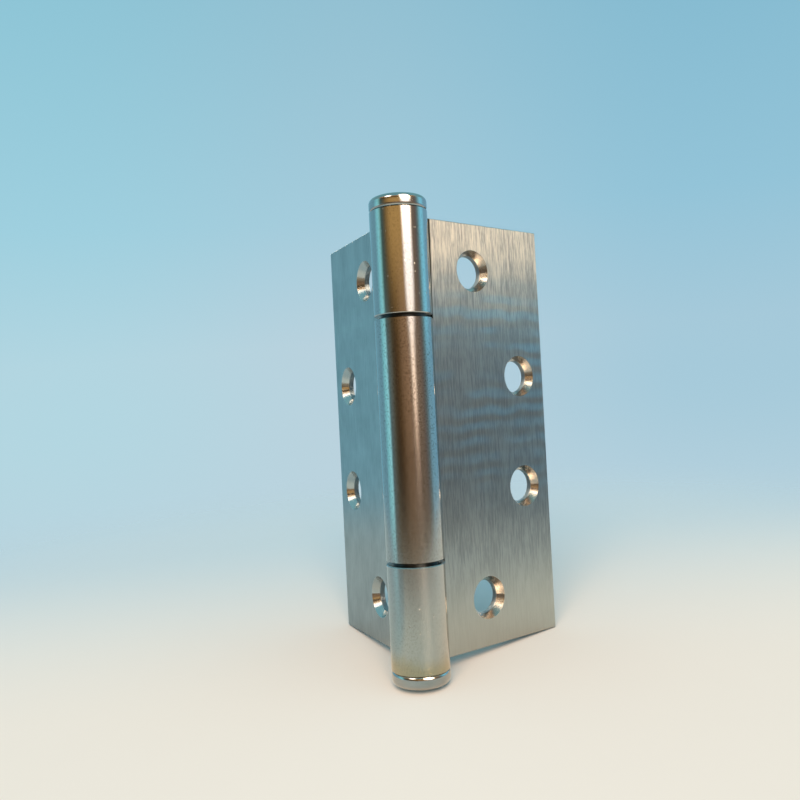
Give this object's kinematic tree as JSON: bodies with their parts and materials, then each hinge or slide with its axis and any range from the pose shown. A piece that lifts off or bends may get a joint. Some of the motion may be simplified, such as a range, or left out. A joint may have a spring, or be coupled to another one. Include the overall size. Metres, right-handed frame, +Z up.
{
  "type": "concealed bearing butt hinge",
  "caption": "Full-mortise butt hinge with flat square leaves, countersunk screw holes, a long smooth barrel, bearings hidden in the knuckles and flat button tips.",
  "frame": {"origin": "on the pin's axis, halfway up the leaves", "axes": "+Z up along the pin, +Y from the pin along the frame leaf, -X out of the frame leaf's countersunk face"},
  "size_m": [0.0569, 0.0582, 0.1216],
  "materials": {
    "frame_leaf_steel": "satin brushed",
    "door_leaf_steel": "satin brushed",
    "pin_steel": "ground",
    "tip_steel": "polished",
    "race_steel": "hardened and ground",
    "bearing_polymer": "self-lubricating, matte"
  },
  "bodies": {
    "frame": {"frame_leaf": "frame_leaf_steel", "hinge_pin": "pin_steel", "upper_tip": "tip_steel", "lower_tip": "tip_steel", "upper_frame_race": "race_steel", "lower_frame_race": "race_steel"},
    "door": {"door_leaf": "door_leaf_steel", "upper_bearing": "bearing_polymer", "lower_bearing": "bearing_polymer", "upper_door_race": "race_steel", "lower_door_race": "race_steel"}
  },
  "joints": [
    {"name": "door_swing", "type": "hinge", "parent": "frame", "child": "door", "pos_m": [0, 0, 0], "axis": [0, 0, 1], "range_deg": [-282, 28]}
  ]
}
